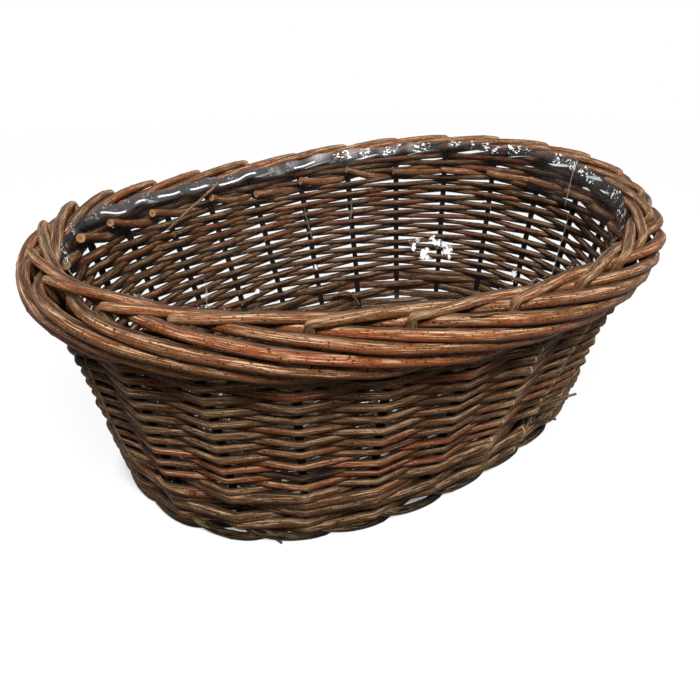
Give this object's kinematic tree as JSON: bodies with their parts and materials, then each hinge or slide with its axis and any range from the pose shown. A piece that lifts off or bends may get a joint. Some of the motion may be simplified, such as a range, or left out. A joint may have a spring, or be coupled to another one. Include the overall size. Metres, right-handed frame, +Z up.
{
  "type": "trug garden basket",
  "caption": "Oval garden basket of woven unpeeled willow, flared, with a thick rolled rod border, a low foot and a loose clear film liner.",
  "frame": {"origin": "on the surface that the basket stands on, under the middle of its bounding box", "axes": "+X along the long axis of the oval, +Y across it, +Z up"},
  "size_m": [0.4986, 0.4288, 0.1781],
  "materials": {
    "stake_bark": "unpeeled willow bark, red-brown, satin",
    "weave_bark": "unpeeled willow bark, dark olive brown, satin",
    "clear_film": "clear thin film, glossy, crumpled"
  },
  "bodies": {
    "root": {"base_cross_sticks": "weave_bark", "base_long_sticks": "weave_bark", "base_weave": "weave_bark", "film_liner": "clear_film", "lower_wale": "weave_bark", "side_stake_01": "stake_bark", "side_stake_02": "stake_bark", "side_stake_03": "stake_bark", "side_stake_04": "stake_bark", "side_stake_05": "stake_bark", "side_stake_06": "stake_bark", "side_stake_07": "stake_bark", "side_stake_08": "stake_bark", "side_stake_09": "stake_bark", "side_stake_10": "stake_bark", "side_stake_11": "stake_bark", "side_stake_12": "stake_bark", "side_stake_13": "stake_bark", "side_stake_14": "stake_bark", "side_stake_15": "stake_bark", "side_stake_16": "stake_bark", "side_stake_17": "stake_bark", "side_stake_18": "stake_bark", "side_stake_19": "stake_bark", "side_stake_20": "stake_bark", "side_stake_21": "stake_bark", "side_stake_22": "stake_bark", "side_stake_23": "stake_bark", "side_stake_24": "stake_bark", "side_stake_25": "stake_bark", "side_stake_26": "stake_bark", "side_weave_01": "weave_bark", "side_weave_02": "weave_bark", "side_weave_03": "weave_bark", "side_weave_04": "weave_bark", "side_weave_05": "weave_bark", "side_weave_06": "weave_bark", "side_weave_07": "weave_bark", "side_weave_08": "weave_bark", "side_weave_09": "weave_bark", "side_weave_10": "weave_bark", "side_weave_11": "weave_bark", "side_weave_12": "weave_bark", "side_weave_13": "weave_bark", "side_weave_14": "weave_bark", "side_weave_15": "weave_bark", "side_weave_16": "weave_bark", "side_weave_17": "weave_bark", "side_weave_18": "weave_bark", "side_weave_19": "weave_bark", "side_weave_20": "weave_bark", "side_weave_21": "weave_bark", "top_weave": "weave_bark", "upper_wale": "weave_bark"}
  },
  "joints": []
}
